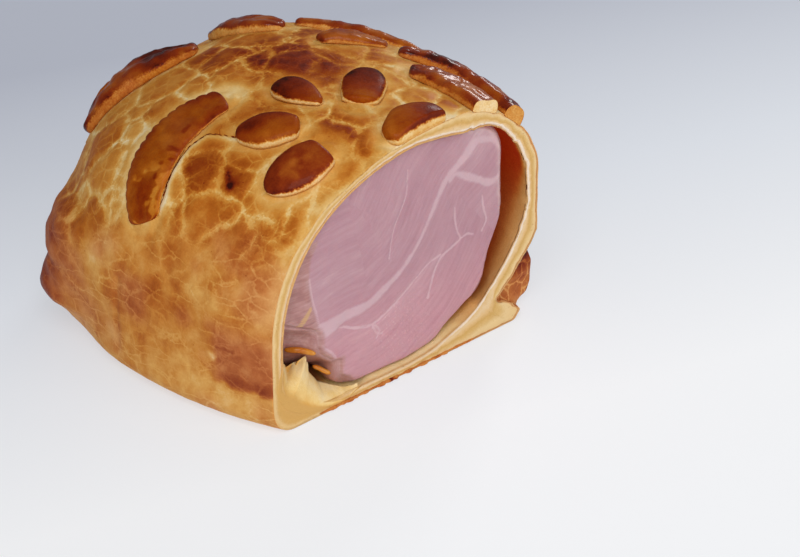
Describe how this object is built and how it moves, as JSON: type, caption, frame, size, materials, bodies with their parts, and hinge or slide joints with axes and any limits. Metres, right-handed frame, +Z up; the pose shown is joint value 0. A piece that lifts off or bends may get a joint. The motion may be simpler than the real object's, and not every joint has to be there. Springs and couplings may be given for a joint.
{
  "type": "ham in pastry",
  "caption": "Cooked ham baked whole in a domed bread crust with a flower and strips of dough, one end sliced off to show the pink meat.",
  "frame": {"origin": "middle of the bounding box, on the surface the loaf rests on", "axes": "+Z up; the cut face looks towards -Y; the loaf runs back along +Y"},
  "size_m": [0.2168, 0.2257, 0.1467],
  "materials": {
    "crust": "baked bread crust, golden brown, with a pale crumb at the cut",
    "ham": "moist cooked ham, pink with pale lines of fat",
    "glazed_dough": "egg-glazed dough, deep brown and glossy"
  },
  "bodies": {
    "root": {"crust": "crust", "ham": "ham", "strip_1": "glazed_dough", "strip_2": "glazed_dough", "strip_3": "glazed_dough", "strip_4": "glazed_dough", "strip_5": "glazed_dough", "strip_6": "glazed_dough", "strip_7": "glazed_dough", "petal_1": "glazed_dough", "petal_2": "glazed_dough", "petal_3": "glazed_dough", "petal_4": "glazed_dough", "petal_5": "glazed_dough"}
  },
  "joints": []
}
